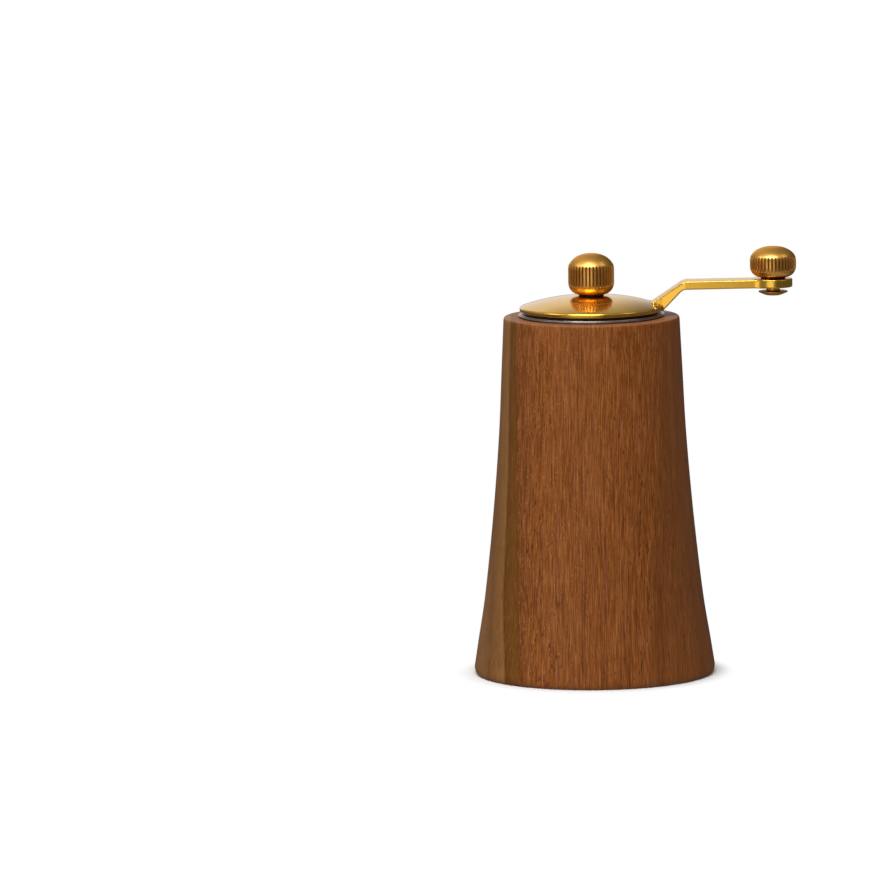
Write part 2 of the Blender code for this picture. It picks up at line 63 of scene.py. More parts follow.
# ---------------------------------------------------------------------------------------------- node helper
class Shader:
    """A material's node tree, written as expressions."""

    def __init__(self, name, colour, roughness, metallic=0.0):
        self.mat = bpy.data.materials.new(name)
        self.mat.use_nodes = True
        self.tree = self.mat.node_tree
        self.bsdf = self.tree.nodes["Principled BSDF"]
        self.bsdf.inputs["Base Color"].default_value = (*colour, 1)
        self.bsdf.inputs["Roughness"].default_value = roughness
        self.bsdf.inputs["Metallic"].default_value = metallic
        self.mat.diffuse_color = (*colour, 1)

    def new(self, kind, **props):
        n = self.tree.nodes.new(kind)
        for k, v in props.items():
            setattr(n, k, v)
        return n

    def put(self, socket, value):
        if isinstance(value, bpy.types.NodeSocket):
            self.tree.links.new(value, socket)
        elif value is not None:
            socket.default_value = value

    def math(self, op, a, b=None, c=None, clamp=False):
        n = self.new("ShaderNodeMath", operation=op, use_clamp=clamp)
        for i, v in enumerate((a, b, c)):
            self.put(n.inputs[i], v)
        return n.outputs[0]

    def span(self, v, a, b, c=0.0, d=1.0, smooth=False):
        n = self.new("ShaderNodeMapRange", interpolation_type="SMOOTHSTEP" if smooth else "LINEAR", clamp=True)
        for i, x in enumerate((v, a, b, c, d)):
            self.put(n.inputs[i], x)
        return n.outputs[0]

    def mix(self, fac, a, b, mode="MIX"):
        n = self.new("ShaderNodeMix", data_type="RGBA", blend_type=mode)
        self.put(n.inputs["Factor"], fac)
        for socket, v in ((n.inputs[6], a), (n.inputs[7], b)):
            self.put(socket, (*v, 1) if isinstance(v, tuple) and len(v) == 3 else v)
        return n.outputs[2]

    def blend(self, fac, a, b):
        n = self.new("ShaderNodeMix", data_type="FLOAT")
        self.put(n.inputs["Factor"], fac)
        self.put(n.inputs[2], a)
        self.put(n.inputs[3], b)
        return n.outputs[0]

    def ramp(self, fac, *stops):
        n = self.new("ShaderNodeValToRGB")
        e = n.color_ramp.elements
        while len(e) < len(stops):
            e.new(0.5)
        for el, (at, c) in zip(e, stops):
            el.position, el.color = at, (*c, 1)
        self.put(n.inputs[0], fac)
        return n.outputs[0]

    def noise(self, vec, scale=1.0, detail=2.0, rough=0.5, distortion=0.0):
        n = self.new("ShaderNodeTexNoise")
        self.put(n.inputs["Vector"], vec)
        for k, v in (("Scale", scale), ("Detail", detail), ("Roughness", rough), ("Distortion", distortion)):
            n.inputs[k].default_value = v
        return n.outputs["Fac"]

    def cells(self, vec, scale=1.0, randomness=1.0):
        n = self.new("ShaderNodeTexVoronoi")
        self.put(n.inputs["Vector"], vec)
        n.inputs["Scale"].default_value = scale
        n.inputs["Randomness"].default_value = randomness
        return n.outputs["Distance"], self.parts(n.outputs["Color"])[0]

    def coords(self, x=AX, turn=0.0):
        """Millimetres from the vertical axis at x, turned about it."""
        n = self.new("ShaderNodeMapping")
        self.put(n.inputs["Vector"], self.new("ShaderNodeTexCoord").outputs["Object"])
        n.inputs["Scale"].default_value = (1 / MM,) * 3
        n.inputs["Rotation"].default_value = (0, 0, turn)
        shift = Matrix.Rotation(turn, 3, "Z") @ Vector((x / MM, 0, 0))
        n.inputs["Location"].default_value = -shift
        return n.outputs[0]

    def stretched(self, vec, scale, shift=(0, 0, 0)):
        n = self.new("ShaderNodeMapping")
        self.put(n.inputs["Vector"], vec)
        n.inputs["Scale"].default_value = scale
        n.inputs["Location"].default_value = shift
        return n.outputs[0]

    def parts(self, vec):
        n = self.new("ShaderNodeSeparateXYZ")
        self.put(n.inputs[0], vec)
        return n.outputs

    def vector(self, x, y, z):
        n = self.new("ShaderNodeCombineXYZ")
        for i, v in enumerate((x, y, z)):
            self.put(n.inputs[i], v)
        return n.outputs[0]

    def length(self, x, y):
        return self.math("SQRT", self.math("ADD", self.math("MULTIPLY", x, x), self.math("MULTIPLY", y, y)))

    def attribute(self, name):
        return self.new("ShaderNodeAttribute", attribute_name=name).outputs["Fac"]

    def bump(self, height, distance, strength=1.0, normal=None):
        n = self.new("ShaderNodeBump")
        n.inputs["Strength"].default_value = strength
        n.inputs["Distance"].default_value = distance
        self.put(n.inputs["Height"], height)
        if normal is not None:
            self.put(n.inputs["Normal"], normal)
        return n.outputs[0]

    def set(self, **sockets):
        for k, v in sockets.items():
            name = k.replace("_", " ")
            self.put(self.bsdf.inputs[name], (*v, 1) if isinstance(v, tuple) and len(v) == 3 else v)
        return self.mat


# ---------------------------------------------------------------------------------------------- materials
BOARD_TURN = math.radians(1.0)  # the glued boards' planes lie across this direction
GLUE = -23.5  # the left glue line, mm from the axis
GLUE_RIGHT = 19.6


def wood_material():
    s = Shader("oiled_hardwood", (0.22, 0.065, 0.013), 0.46)
    p = s.coords(AX, BOARD_TURN)
    # the grain wanders a little as it climbs
    drift = s.noise(s.stretched(p, (0.03, 0.03, 0.012)), detail=1)
    u, v, z = s.parts(p)[0], s.parts(p)[1], s.parts(p)[2]
    u_grain = s.math("ADD", u, s.math("MULTIPLY", s.math("SUBTRACT", drift, 0.5), 6.0))
    # measured along the turned surface, so that the fibres stay long where the body flares
    reach = s.math("MAXIMUM", s.length(u, v), 1.0)
    aside = s.span(s.math("DIVIDE", s.math("ABSOLUTE", u), reach), 0.74, 0.97, smooth=True)
    u_grain = s.blend(aside, u_grain, s.math("DIVIDE", s.math("MULTIPLY", u_grain, 30.0), reach))
    q = s.vector(u_grain, s.math("DIVIDE", s.math("MULTIPLY", v, 30.0), reach), z)

    broad = s.noise(s.stretched(q, (0.20, 0.10, 0.004)), detail=2, rough=0.55)
    patch = s.noise(s.stretched(q, (0.11, 0.11, 0.018), (4.0, 1.0, 0.0)), detail=2, rough=0.5)
    streak = s.noise(s.stretched(q, (0.85, 0.6, 0.018)), detail=3, rough=0.6)
    strand = s.noise(s.stretched(q, (2.1, 2.1, 0.055)), detail=2, rough=0.6)
    fine = s.noise(s.stretched(q, (3.5, 3.5, 0.13)), detail=2, rough=0.6)
    short = s.noise(s.stretched(q, (3.4, 3.4, 0.50), (0, 11.0, 0)), detail=1, rough=0.6)
    fibre = s.noise(s.stretched(q, (9.0, 9.0, 0.55)), detail=2, rough=0.6)

    # red-brown board
    tone = s.math("ADD", s.math("MULTIPLY", broad, 0.55), s.math("MULTIPLY", streak, 0.45))
    red = s.ramp(
        tone,
        (0.34, (0.168, 0.0395, 0.0040)),
        (0.45, (0.226, 0.0600, 0.0070)),
        (0.55, (0.256, 0.0725, 0.0100)),
        (0.68, (0.300, 0.0940, 0.0165)),
    )
    # pinker patches, as in the heart of the board
    red = s.mix(s.span(patch, 0.48, 0.66, 0.0, 0.55), red, (0.272, 0.0830, 0.0230))
    tint = s.noise(s.stretched(q, (1.3, 1.3, 0.045), (7.0, 3.0, 0.0)), detail=3, rough=0.65)
    red = s.mix(s.span(tint, 0.50, 0.66, 0.0, 0.50), red, (0.262, 0.0770, 0.0370))
    red = s.mix(s.span(tint, 0.48, 0.34, 0.0, 0.42), red, (0.215, 0.0610, 0.0030))
    # cooler, browner board to the right and round the back
    brown = s.ramp(
        tone,
        (0.34, (0.142, 0.0415, 0.0070)),
        (0.50, (0.205, 0.0640, 0.0120)),
        (0.66, (0.245, 0.0800, 0.0180)),
    )
    edge = s.math("ADD", u, s.math("MULTIPLY", s.math("SUBTRACT", drift, 0.5), 5.0))
    side = s.span(s.math("ADD", edge, s.math("MULTIPLY", s.math("SUBTRACT", z, 60.0), -0.035)), GLUE_RIGHT - 1.2, GLUE_RIGHT + 1.2, smooth=True)
    colour = s.mix(s.math("MULTIPLY", side, 0.85), red, brown)

    # olive board beyond the left glue line, with a dark band along the line
    depth = s.math("SUBTRACT", GLUE, u)
    wave = s.math("MULTIPLY", s.math("SUBTRACT", s.noise(s.stretched(p, (0.10, 0.10, 0.020)), detail=2), 0.5), 2.4)
    stripe = s.math("SUBTRACT", s.math("ADD", depth, wave), s.span(z, 100.0, 5.0, -0.9, 2.5))
    olive = s.ramp(
        s.span(stripe, 0.0, 14.0),
        (0.00, (0.162, 0.0570, 0.0045)),
        (0.12, (0.142, 0.0510, 0.0040)),
        (0.145, (0.108, 0.0330, 0.0036)),
        (0.19, (0.270, 0.1200, 0.0300)),
        (0.32, (0.235, 0.1040, 0.0270)),
        (0.46, (0.185, 0.0750, 0.0170)),
        (0.62, (0.245, 0.1100, 0.0310)),
        (1.00, (0.200, 0.0820, 0.0200)),
    )
    is_olive = s.math("GREATER_THAN", depth, 0.0)
    # the red board is darker beside the line
    colour = s.mix(s.math("MULTIPLY", s.span(depth, -5.5, 0.0), 0.42), colour, (0.110, 0.0330, 0.0020))
    colour = s.mix(is_olive, colour, olive)

    # strands and fibres
    calm = s.math("SUBTRACT", 1.0, s.math("MULTIPLY", s.math("MAXIMUM", side, is_olive), 0.50))
    colour = s.mix(s.math("MULTIPLY", s.span(strand, 0.30, 0.50, 0.50, 0.0), calm), colour, (0.098, 0.0250, 0.0030))
    colour = s.mix(s.math("MULTIPLY", s.span(strand, 0.53, 0.72, 0.0, 0.34), calm), colour, (0.400, 0.1450, 0.0330))
    colour = s.mix(s.math("MULTIPLY", s.span(fine, 0.30, 0.49, 0.74, 0.0), calm), colour, (0.084, 0.0210, 0.0025))
    colour = s.mix(s.math("MULTIPLY", s.span(fine, 0.52, 0.70, 0.0, 0.60), calm), colour, (0.440, 0.1720, 0.0520))
    colour = s.mix(s.math("MULTIPLY", s.span(short, 0.28, 0.44, 0.52, 0.0), calm), colour, (0.080, 0.0200, 0.0025))

    # short open pores, thicker in some bands
    band = s.noise(s.stretched(q, (0.16, 0.16, 0.008), (3.1, 0, 0)), detail=2)
    far, pick = s.cells(s.stretched(q, (1.45, 1.45, 0.27)))
    wide = s.span(band, 0.35, 0.70, 0.10, 0.27)
    pore = s.math("MULTIPLY", s.span(s.math("SUBTRACT", wide, far), -0.02, 0.07), s.math("GREATER_THAN", pick, 0.58))
    far2, pick2 = s.cells(s.stretched(q, (0.95, 0.95, 0.062), (5.0, 2.0, 0)))
    wide2 = s.span(band, 0.42, 0.72, 0.03, 0.17)
    vessel = s.math("MULTIPLY", s.span(s.math("SUBTRACT", wide2, far2), -0.01, 0.06), s.math("GREATER_THAN", pick2, 0.66))
    dark = s.math("MULTIPLY", s.math("MAXIMUM", pore, vessel), calm)
    colour = s.mix(s.math("MULTIPLY", dark, 0.90), colour, (0.036, 0.0085, 0.0018))

    # pale flecks, the wood's ray flecks and partly a painted highlight on them, mostly left of the middle where the key
    # light falls
    far3, pick3 = s.cells(s.stretched(q, (1.9, 1.9, 0.62), (9.0, 4.0, 2.0)))
    fleck_glint_zone = s.span(u, 12.0, -20.0, 0.15, 1.0)
    fleck_and_glint = s.math("MULTIPLY", s.span(s.math("SUBTRACT", 0.30, far3), 0.0, 0.14), s.math("GREATER_THAN", pick3, 0.62))
    fleck_and_glint = s.math("MULTIPLY", fleck_and_glint, fleck_glint_zone)
    fleck_and_glint = s.math("MULTIPLY", fleck_and_glint, s.math("SUBTRACT", 1.0, is_olive))
    # ray flecks with a painted highlight, stronger on the lit left side
    colour = s.mix(s.math("MULTIPLY", fleck_and_glint, 0.62), colour, (0.500, 0.2100, 0.0580))

    # the glue lines
    line = s.span(s.math("ABSOLUTE", depth), 0.04, 0.16, 1.0, 0.0)
    colour = s.mix(s.math("MULTIPLY", line, 0.40), colour, (0.055, 0.0190, 0.0040))

    # cut surfaces: the bore is paler and less polished; the turned top face and its rounded edge are painted paler, a
    # painted sheen where the top catches the light
    x, y = s.parts(s.coords(AX))[0], s.parts(s.coords(AX))[1]
    radius = s.length(x, y)
    painted_top_sheen = s.span(z, H - 0.35, H - 0.05, smooth=True)
    bore = s.span(radius, 22.2, 22.6, 1.0, 0.0)
    bore = s.math("MAXIMUM", bore, s.math("MULTIPLY", s.span(z, 14.3, 14.6, 1.0, 0.0), s.span(radius, 25.7, 26.0, 1.0, 0.0)))
    # painted sheen: the top face and its edge are mixed towards a pale tan
    colour = s.mix(s.math("MULTIPLY", painted_top_sheen, 0.22), colour, (0.400, 0.2100, 0.1300))
    colour = s.mix(s.math("MULTIPLY", bore, 0.45), colour, (0.330, 0.150, 0.060))
    foot = s.span(z, 0.0, 1.6, 1.0, 0.0, smooth=True)
    colour = s.mix(s.math("MULTIPLY", foot, 0.25), colour, (0.060, 0.020, 0.008))

    rough = s.math("ADD", s.span(fine, 0.3, 0.7, 0.42, 0.52), s.math("MULTIPLY", dark, 0.18))
    rough = s.math("ADD", rough, s.math("MULTIPLY", s.noise(s.stretched(p, (0.08, 0.08, 0.05)), detail=3), 0.06))
    rough = s.blend(bore, rough, 0.72)

    rings = s.math("MULTIPLY", s.math("SINE", s.math("MULTIPLY", z, 9.0)), s.math("MULTIPLY", bore, 0.30))
    height = s.math("SUBTRACT", s.math("MULTIPLY", fine, 0.45), s.math("MULTIPLY", dark, 1.0))
    height = s.math("ADD", height, s.math("MULTIPLY", fibre, 0.18))
    height = s.math("ADD", height, rings)
    return s.set(
        Base_Color=colour, Roughness=rough, Normal=s.bump(height, 0.000022, 0.9), Specular_IOR_Level=0.16, IOR=1.5
    )


def brass_material(name, x, turned=False, arm=False):
    """Satin gold-coloured plating. turned adds the lathe's rings; a mesh attribute, 1 in a recess, darkens the colour
    there, as tarnish in the hollows and as painted shade.
    """
    s = Shader(name, (0.80, 0.46, 0.060), 0.25, 1.0)
    p = s.coords(x)
    px, py, pz = s.parts(p)[0], s.parts(p)[1], s.parts(p)[2]
    radius = s.length(px, py)
    cloud = s.noise(s.stretched(p, (0.18, 0.18, 0.18)), detail=4, rough=0.6)
    grit = s.noise(s.stretched(p, (7.0, 7.0, 7.0)), detail=3, rough=0.7)
    tarnish_and_shade = s.attribute("tarnish_and_shade")

    if turned or arm:
        colour = s.mix(s.span(cloud, 0.35, 0.68), (0.790, 0.425, 0.044), (0.860, 0.485, 0.062))
    else:
        colour = s.mix(s.span(cloud, 0.35, 0.68), (0.790, 0.398, 0.082), (0.860, 0.455, 0.104))
    colour = s.mix(s.math("MULTIPLY", s.span(grit, 0.30, 0.46, 1.0, 0.0), 0.14), colour, (0.60, 0.28, 0.030))
    # painted shade in the recesses, together with tarnish: the colour darkens where the recess attribute is high
    colour = s.mix(s.math("MULTIPLY", tarnish_and_shade, 0.80), colour, (0.150, 0.052, 0.005))

    if turned:
        ring = s.noise(s.vector(s.math("MULTIPLY", radius, 3.2), s.math("MULTIPLY", pz, 1.5), 0.0), detail=3, rough=0.7)
        lines = s.math("ADD", s.math("MULTIPLY", ring, 0.85), s.math("MULTIPLY", grit, 0.15))
    elif arm:
        drawn = s.noise(s.stretched(p, (0.22, 4.0, 4.0)), detail=3, rough=0.65)
        lines = s.math("ADD", s.math("MULTIPLY", drawn, 0.8), s.math("MULTIPLY", grit, 0.2))
    else:
        lap = s.noise(s.vector(s.math("MULTIPLY", radius, 0.6), s.math("MULTIPLY", pz, 4.0), 0.0), detail=3, rough=0.7)
        lines = s.math("ADD", s.math("MULTIPLY", lap, 0.75), s.math("MULTIPLY", grit, 0.25))
    low, high = (0.110, 0.155) if turned else (0.150, 0.200) if arm else (0.285, 0.345)
    rough = s.math("ADD", s.span(lines, 0.3, 0.7, low, high), s.math("MULTIPLY", tarnish_and_shade, 0.18))
    rough = s.math("ADD", rough, s.span(cloud, 0.4, 0.7, 0.0, 0.05))
    # hair scratches from handling
    scratch = s.noise(s.stretched(p, (0.5, 9.0, 4.0), (2.0, 0, 0)), detail=1, distortion=0.6)
    scratch = s.span(s.math("ABSOLUTE", s.math("SUBTRACT", scratch, 0.5)), 0.0, 0.006, 1.0, 0.0)
    rough = s.math("ADD", rough, s.math("MULTIPLY", scratch, 0.05))
    height = s.math("SUBTRACT", lines, s.math("MULTIPLY", scratch, 0.12))
    # a thin clear lacquer over the plating
    lacquer = s.span(cloud, 0.3, 0.7, 0.34, 0.26) if turned or arm else s.span(cloud, 0.3, 0.7, 0.24, 0.16)
    return s.set(
        Base_Color=colour,
        Roughness=rough,
        Normal=s.bump(height, 0.0000018, 0.8),
        Coat_Weight=s.math("MULTIPLY", lacquer, s.math("SUBTRACT", 1.0, s.math("MULTIPLY", tarnish_and_shade, 0.8))),
        Coat_Roughness=s.span(lines, 0.3, 0.7, 0.20, 0.27),
        Coat_IOR=1.5,
        Specular_Tint=(1.0, 1.0, 1.0) if turned else (0.96, 0.92, 0.82) if arm else (0.80, 0.54, 0.30),
    )


def steel_material(name, x, colour=(0.60, 0.59, 0.575), rough=(0.24, 0.36), tint=(0.42, 0.41, 0.40), stain=0.12):
    s = Shader(name, colour, sum(rough) / 2, 1.0)
    p = s.coords(x)
    px, py, pz = s.parts(p)[0], s.parts(p)[1], s.parts(p)[2]
    radius = s.length(px, py)
    ring = s.noise(s.vector(s.math("MULTIPLY", radius, 5.0), s.math("MULTIPLY", pz, 5.0), 0.0), detail=4, rough=0.7)
    cloud = s.noise(s.stretched(p, (0.3, 0.3, 0.3)), detail=4, rough=0.6)
    c = s.mix(s.span(cloud, 0.4, 0.7), colour, tint)
    c = s.mix(s.math("MULTIPLY", s.span(cloud, 0.60, 0.75), stain), c, (0.20, 0.13, 0.08))
    return s.set(
        Base_Color=c, Roughness=s.span(ring, 0.3, 0.7, rough[0], rough[1]), Normal=s.bump(ring, 0.000008, 0.7)
    )


def nylon_material(name, x):
    s = Shader(name, (0.020, 0.020, 0.021), 0.5)
    p = s.coords(x)
    grain = s.noise(s.stretched(p, (5.0, 5.0, 5.0)), detail=3, rough=0.6)
    cloud = s.noise(s.stretched(p, (0.12, 0.12, 0.12)), detail=2)
    c = s.mix(s.span(cloud, 0.35, 0.65), (0.017, 0.017, 0.018), (0.026, 0.025, 0.025))
    dust = s.math("MULTIPLY", s.span(grain, 0.62, 0.75), 0.25)
    c = s.mix(dust, c, (0.10, 0.07, 0.05))
    return s.set(Base_Color=c, Roughness=s.span(grain, 0.3, 0.7, 0.42, 0.60), Normal=s.bump(grain, 0.00002, 0.7))


WOOD = wood_material()
BRASS_LID = brass_material("satin_brass_lid", AX, turned=True)
BRASS_ARM = brass_material("satin_brass_arm", AX, arm=True)
BRASS_KNOB = brass_material("satin_brass_knob", AX)
BRASS_GRIP = brass_material("satin_brass_grip", GX)
STEEL = steel_material("brushed_steel", AX)
COLLAR_STEEL = steel_material("brushed_steel_collar", AX, (0.40, 0.365, 0.345), (0.26, 0.36), (0.30, 0.265, 0.245))
BURR = steel_material("hardened_steel", AX, (0.34, 0.33, 0.32), (0.30, 0.46), (0.24, 0.225, 0.21), 0.3)
NYLON = nylon_material("black_nylon", AX)
NYLON_GRIP = nylon_material("black_nylon_grip", GX)


# ---------------------------------------------------------------------------------------------- geometry helpers
def piece(name, verts, faces, body, node, mat, centre=None, sharp=32, tarnish_and_shade=None, normals=None):
    """One visible piece from millimetre vertices about an axis, riding on a body and standing for a CAD node."""
    centre = AX if centre is None else centre
    v = np.asarray(verts, float) * MM
    v[:, 0] += centre
    mesh = bpy.data.meshes.new(name)
    mesh.from_pydata(v.tolist(), [], [tuple(int(i) for i in f) for f in faces])
    mesh.validate()
    mesh.update()
    mesh.shade_smooth()
    if sharp is not None:
        mesh.set_sharp_from_angle(angle=math.radians(sharp))
    if normals is not None:
        mesh.normals_split_custom_set_from_vertices(np.asarray(normals, float).tolist())
    # the recess attribute carries tarnish and painted shade for the brass materials
    a = mesh.attributes.new("tarnish_and_shade", "FLOAT", "POINT")
    if tarnish_and_shade is not None:
        a.data.foreach_set("value", np.asarray(tarnish_and_shade, np.float32))
    obj = bpy.data.objects.new(name, mesh)
    bpy.context.scene.collection.objects.link(obj)
    mesh.materials.append(mat)
    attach(obj, body)
    if node:
        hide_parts(node)
    return obj


def rounded(points, closed=False, segments=5):
    """A polyline of (r, z) or (r, z, fillet radius), with its corners rounded."""
    out = []
    m = len(points)
    for i, pt in enumerate(points):
        fillet = pt[2] if len(pt) > 2 else 0
        if fillet <= 0 or (not closed and i in (0, m - 1)):
            out.append((pt[0], pt[1]))
            continue
        p, a, b = Vector(pt[:2]), Vector(points[i - 1][:2]), Vector(points[(i + 1) % m][:2])
        u, v = (a - p).normalized(), (b - p).normalized()
        half = math.acos(max(-1.0, min(1.0, u.dot(v)))) / 2
        if half > math.radians(88.5):
            out.append((pt[0], pt[1]))
            continue
        t = min(fillet / math.tan(half), 0.48 * (a - p).length, 0.48 * (b - p).length)
        centre = p + (u + v).normalized() * (t / math.cos(half))
        s, e = p + u * t - centre, p + v * t - centre
        a0 = math.atan2(s.y, s.x)
        sweep = (math.atan2(e.y, e.x) - a0 + math.pi) % (2 * math.pi) - math.pi
        r = s.length
        for k in range(segments + 1):
            g = a0 + sweep * k / segments
            out.append((centre.x + r * math.cos(g), centre.y + r * math.sin(g)))
    return out


def through(stations, count):
    """A smooth curve through points."""
    pts = [Vector(p[:2]) for p in stations]
    pts = [2 * pts[0] - pts[1]] + pts + [2 * pts[-1] - pts[-2]]
    out = []
    spans = len(stations) - 1
    for i in range(count + 1):
        w = spans * i / count
        k = min(int(w), spans - 1)
        t = w - k
        a, b, c, d = pts[k : k + 4]
        p = 0.5 * ((2 * b) + (c - a) * t + (2 * a - 5 * b + 4 * c - d) * t * t + (3 * b - a - 3 * c + d) * t**3)
        out.append((p.x, p.y))
    return out


def split_long(points, longest, closed=False):
    out = []
    pairs = list(zip(points, points[1:] + points[:1])) if closed else list(zip(points, points[1:]))
    for a, b in pairs:
        n = max(1, math.ceil(math.dist(a, b) / longest))
        out += [(a[0] + (b[0] - a[0]) * k / n, a[1] + (b[1] - a[1]) * k / n) for k in range(n)]
    return out if closed else out + [points[-1]]


def revolve(rows, steps, closed=False):
    """Vertices and faces of a turned form. A row is (r, z), each a number or an array over the steps. The rows run
    down the outer side and back up the inner one."""
    th = 2 * np.pi * np.arange(steps) / steps
    c, s = np.cos(th), np.sin(th)
    verts, index = [], []
    n = 0
    for r, z in rows:
        if np.isscalar(r) and abs(r) < 1e-9:
            index.append(np.array([n]))
            verts.append(np.array([[0, 0, float(z)]]))
            n += 1
        else:
            r, z = np.broadcast_to(r, steps), np.broadcast_to(z, steps)
            index.append(np.arange(n, n + steps))
            verts.append(np.stack([r * c, r * s, z], 1))
            n += steps
    faces = []
    pairs = list(zip(index[:-1], index[1:])) + ([(index[-1], index[0])] if closed else [])
    for a, b in pairs:
        if len(a) == 1:
            faces += [(a[0], b[i], b[(i + 1) % steps]) for i in range(steps)]
        elif len(b) == 1:
            faces += [(a[i], b[0], a[(i + 1) % steps]) for i in range(steps)]
        else:
            a2, b2 = np.roll(a, -1), np.roll(b, -1)
            faces += np.stack([a, b, b2, a2], 1).tolist()
    return np.concatenate(verts), faces


def angles(steps):
    return 2 * np.pi * np.arange(steps) / steps


def square(flats, steps, corner=0.35):
    """Radius of a rounded square hole or shank."""
    th = angles(steps)
    half = flats / 2
    r = half / np.maximum(np.abs(np.cos(th)), np.abs(np.sin(th)))
    return np.minimum(r, half * math.sqrt(2) - corner)


def turned(name, outline, steps, body, node, slot, mat, centre=None, closed=True, longest=None, sharp=32):
    pts = outline if longest is None else split_long(outline, longest, closed)
    v, f = revolve(pts, steps, closed)
    return piece(name, v, f, body, node, mat, centre, sharp)


# ---------------------------------------------------------------------------------------------- fields
def smin(a, b, k):
    h = np.maximum(k - np.abs(a - b), 0) / k
    return np.minimum(a, b) - h * h * k / 4


def smax(a, b, k):
    return -smin(-a, -b, k)


def polygon(px, pz, corners):
    """Signed distance to a closed polygon, negative inside."""
    d = np.full(np.broadcast(px, pz).shape, 1e9)
    sign = np.ones(d.shape)
    n = len(corners)
    for i in range(n):
        ax, az = corners[i]
        bx, bz = corners[i - 1]
        ex, ez = bx - ax, bz - az
        wx, wz = px - ax, pz - az
        t = np.clip((wx * ex + wz * ez) / (ex * ex + ez * ez), 0, 1)
        d = np.minimum(d, (wx - ex * t) ** 2 + (wz - ez * t) ** 2)
        c1, c2, c3 = pz >= az, pz < bz, ex * wz > ez * wx
        flip = (c1 & c2 & c3) | (~c1 & ~c2 & ~c3)
        sign = np.where(flip, -sign, sign)
    return sign * np.sqrt(d)


def surface_net(field, lo, hi, h, settle=3):
    """A quad mesh on the zero level of field(x, y, z), which is negative inside the solid."""
    n = [int(math.ceil((b - a) / h)) + 1 for a, b in zip(lo, hi)]
    axes = [lo[i] + h * np.arange(n[i]) for i in range(3)]
    grid = np.meshgrid(*axes, indexing="ij")
    f = field(*grid)
    cells = tuple(k - 1 for k in n)
    acc, cnt = np.zeros(cells + (3,)), np.zeros(cells)
    edges = []
    for axis in range(3):
        a = np.take(f, range(n[axis] - 1), axis)
        b = np.take(f, range(1, n[axis]), axis)
        cross = (a < 0) != (b < 0)
        t = np.where(cross, a / np.where(a == b, 1, a - b), 0)
        base = [np.take(g, range(n[axis] - 1), axis) for g in grid]
        at = np.stack(base, -1)
        at[..., axis] += t * h
        o1, o2 = [k for k in range(3) if k != axis]
        for d1 in (0, 1):
            for d2 in (0, 1):
                cut = [slice(None)] * 3
                cut[o1] = slice(d1, n[o1] - 1 + d1)
                cut[o2] = slice(d2, n[o2] - 1 + d2)
                m = cross[tuple(cut)]
                acc += np.where(m[..., None], at[tuple(cut)], 0)
                cnt += m
        edges.append((cross, a < 0))
    used = cnt > 0
    number = np.full(cells, -1)
    number[used] = np.arange(used.sum())
    verts = acc[used] / cnt[used][:, None]
    faces = []
    for axis in range(3):
        cross, inward = edges[axis]
        p, q = (axis + 1) % 3, (axis + 2) % 3
        idx = np.argwhere(cross)
        keep = (idx[:, p] > 0) & (idx[:, q] > 0) & (idx[:, p] < n[p] - 1) & (idx[:, q] < n[q] - 1)
        idx = idx[keep]
        quad = []
        for dp, dq in ((-1, -1), (0, -1), (0, 0), (-1, 0)):
            c = idx.copy()
            c[:, p] += dp
            c[:, q] += dq
            quad.append(number[c[:, 0], c[:, 1], c[:, 2]])
        quad = np.stack(quad, 1)
        out = inward[idx[:, 0], idx[:, 1], idx[:, 2]]
        quad[~out] = quad[~out][:, ::-1]
        faces.append(quad)
    faces = np.concatenate(faces)
    e = h * 0.05
    for _ in range(settle):
        v = field(*verts.T)
        g = np.stack([(field(*(verts + d).T) - field(*(verts - d).T)) / (2 * e) for d in np.eye(3) * e], 1)
        step = -v[:, None] * g / np.maximum((g * g).sum(1), 1e-6)[:, None]
        size = np.linalg.norm(step, axis=1, keepdims=True)
        verts = verts + step * np.minimum(1, 0.4 * h / np.maximum(size, 1e-9))
    return verts, faces


# ---------------------------------------------------------------------------------------------- wooden body
FLARE = [(27.4, 110.6), (28.15, 95.0), (29.15, 75.0), (31.2, 50.0), (33.95, 25.0), (36.3, 10.0), (37.5, 2.3)]
outer = [(21.9, H, 0.25), (26.70, H)]
outer += [(26.72 + 0.62 * math.sin(a), H - 0.62 + 0.62 * math.cos(a)) for a in np.linspace(0.05, 1.45, 8)]
outer += through(FLARE, 70)
outer += [
    (36.25 + 1.25 * math.cos(a) ** 0.8, 1.9 - 1.9 * math.sin(a)) for a in np.linspace(0.12, math.pi / 2 - 0.02, 9)
]
inner = [(26.4, 0.0, 0.3), (25.6, 1.2), (25.6, 14.0), (19.6, 14.0), (19.6, 104.0), (21.9, 104.0)]
turned(
    "turned_body",
    rounded(outer + [(36.25, 0.0)] + inner, closed=True, segments=3),
    192,
    "housing",
    "wood_body",
    "oiled_hardwood",
    WOOD,
    longest=2.5,
    sharp=38,
)

# ---------------------------------------------------------------------------------------------- collar
collar = rounded(
    [
        (20.75, 112.65, 0.12),
        (21.7, 112.65, 0.2),
        (21.85, 112.43, 0.1),
        (22.75, 112.43, 0.14),
        (22.75, 112.1, 0.1),
        (21.6, H + 0.36),
        (21.6, 105.8, 0.15),
        (20.75, 105.8, 0.15),
    ],
    closed=True,
)
turned("mouth_collar", collar, 192, "housing", "collar_ring", "brushed_steel", COLLAR_STEEL)

# ---------------------------------------------------------------------------------------------- lid
DOME_EDGE_R, DOME_EDGE_Z, DOME_FLAT_R, LID_TOP = 21.5, LEVEL + 4.45, 4.4, LEVEL + 7.6
RIM_Z = LEVEL + 2.65


def dome(r):
    t = np.maximum(r - DOME_FLAT_R, 0) / (DOME_EDGE_R - DOME_FLAT_R)
    return LID_TOP - (LID_TOP - DOME_EDGE_Z) * (0.16 * t + 0.84 * t * t)


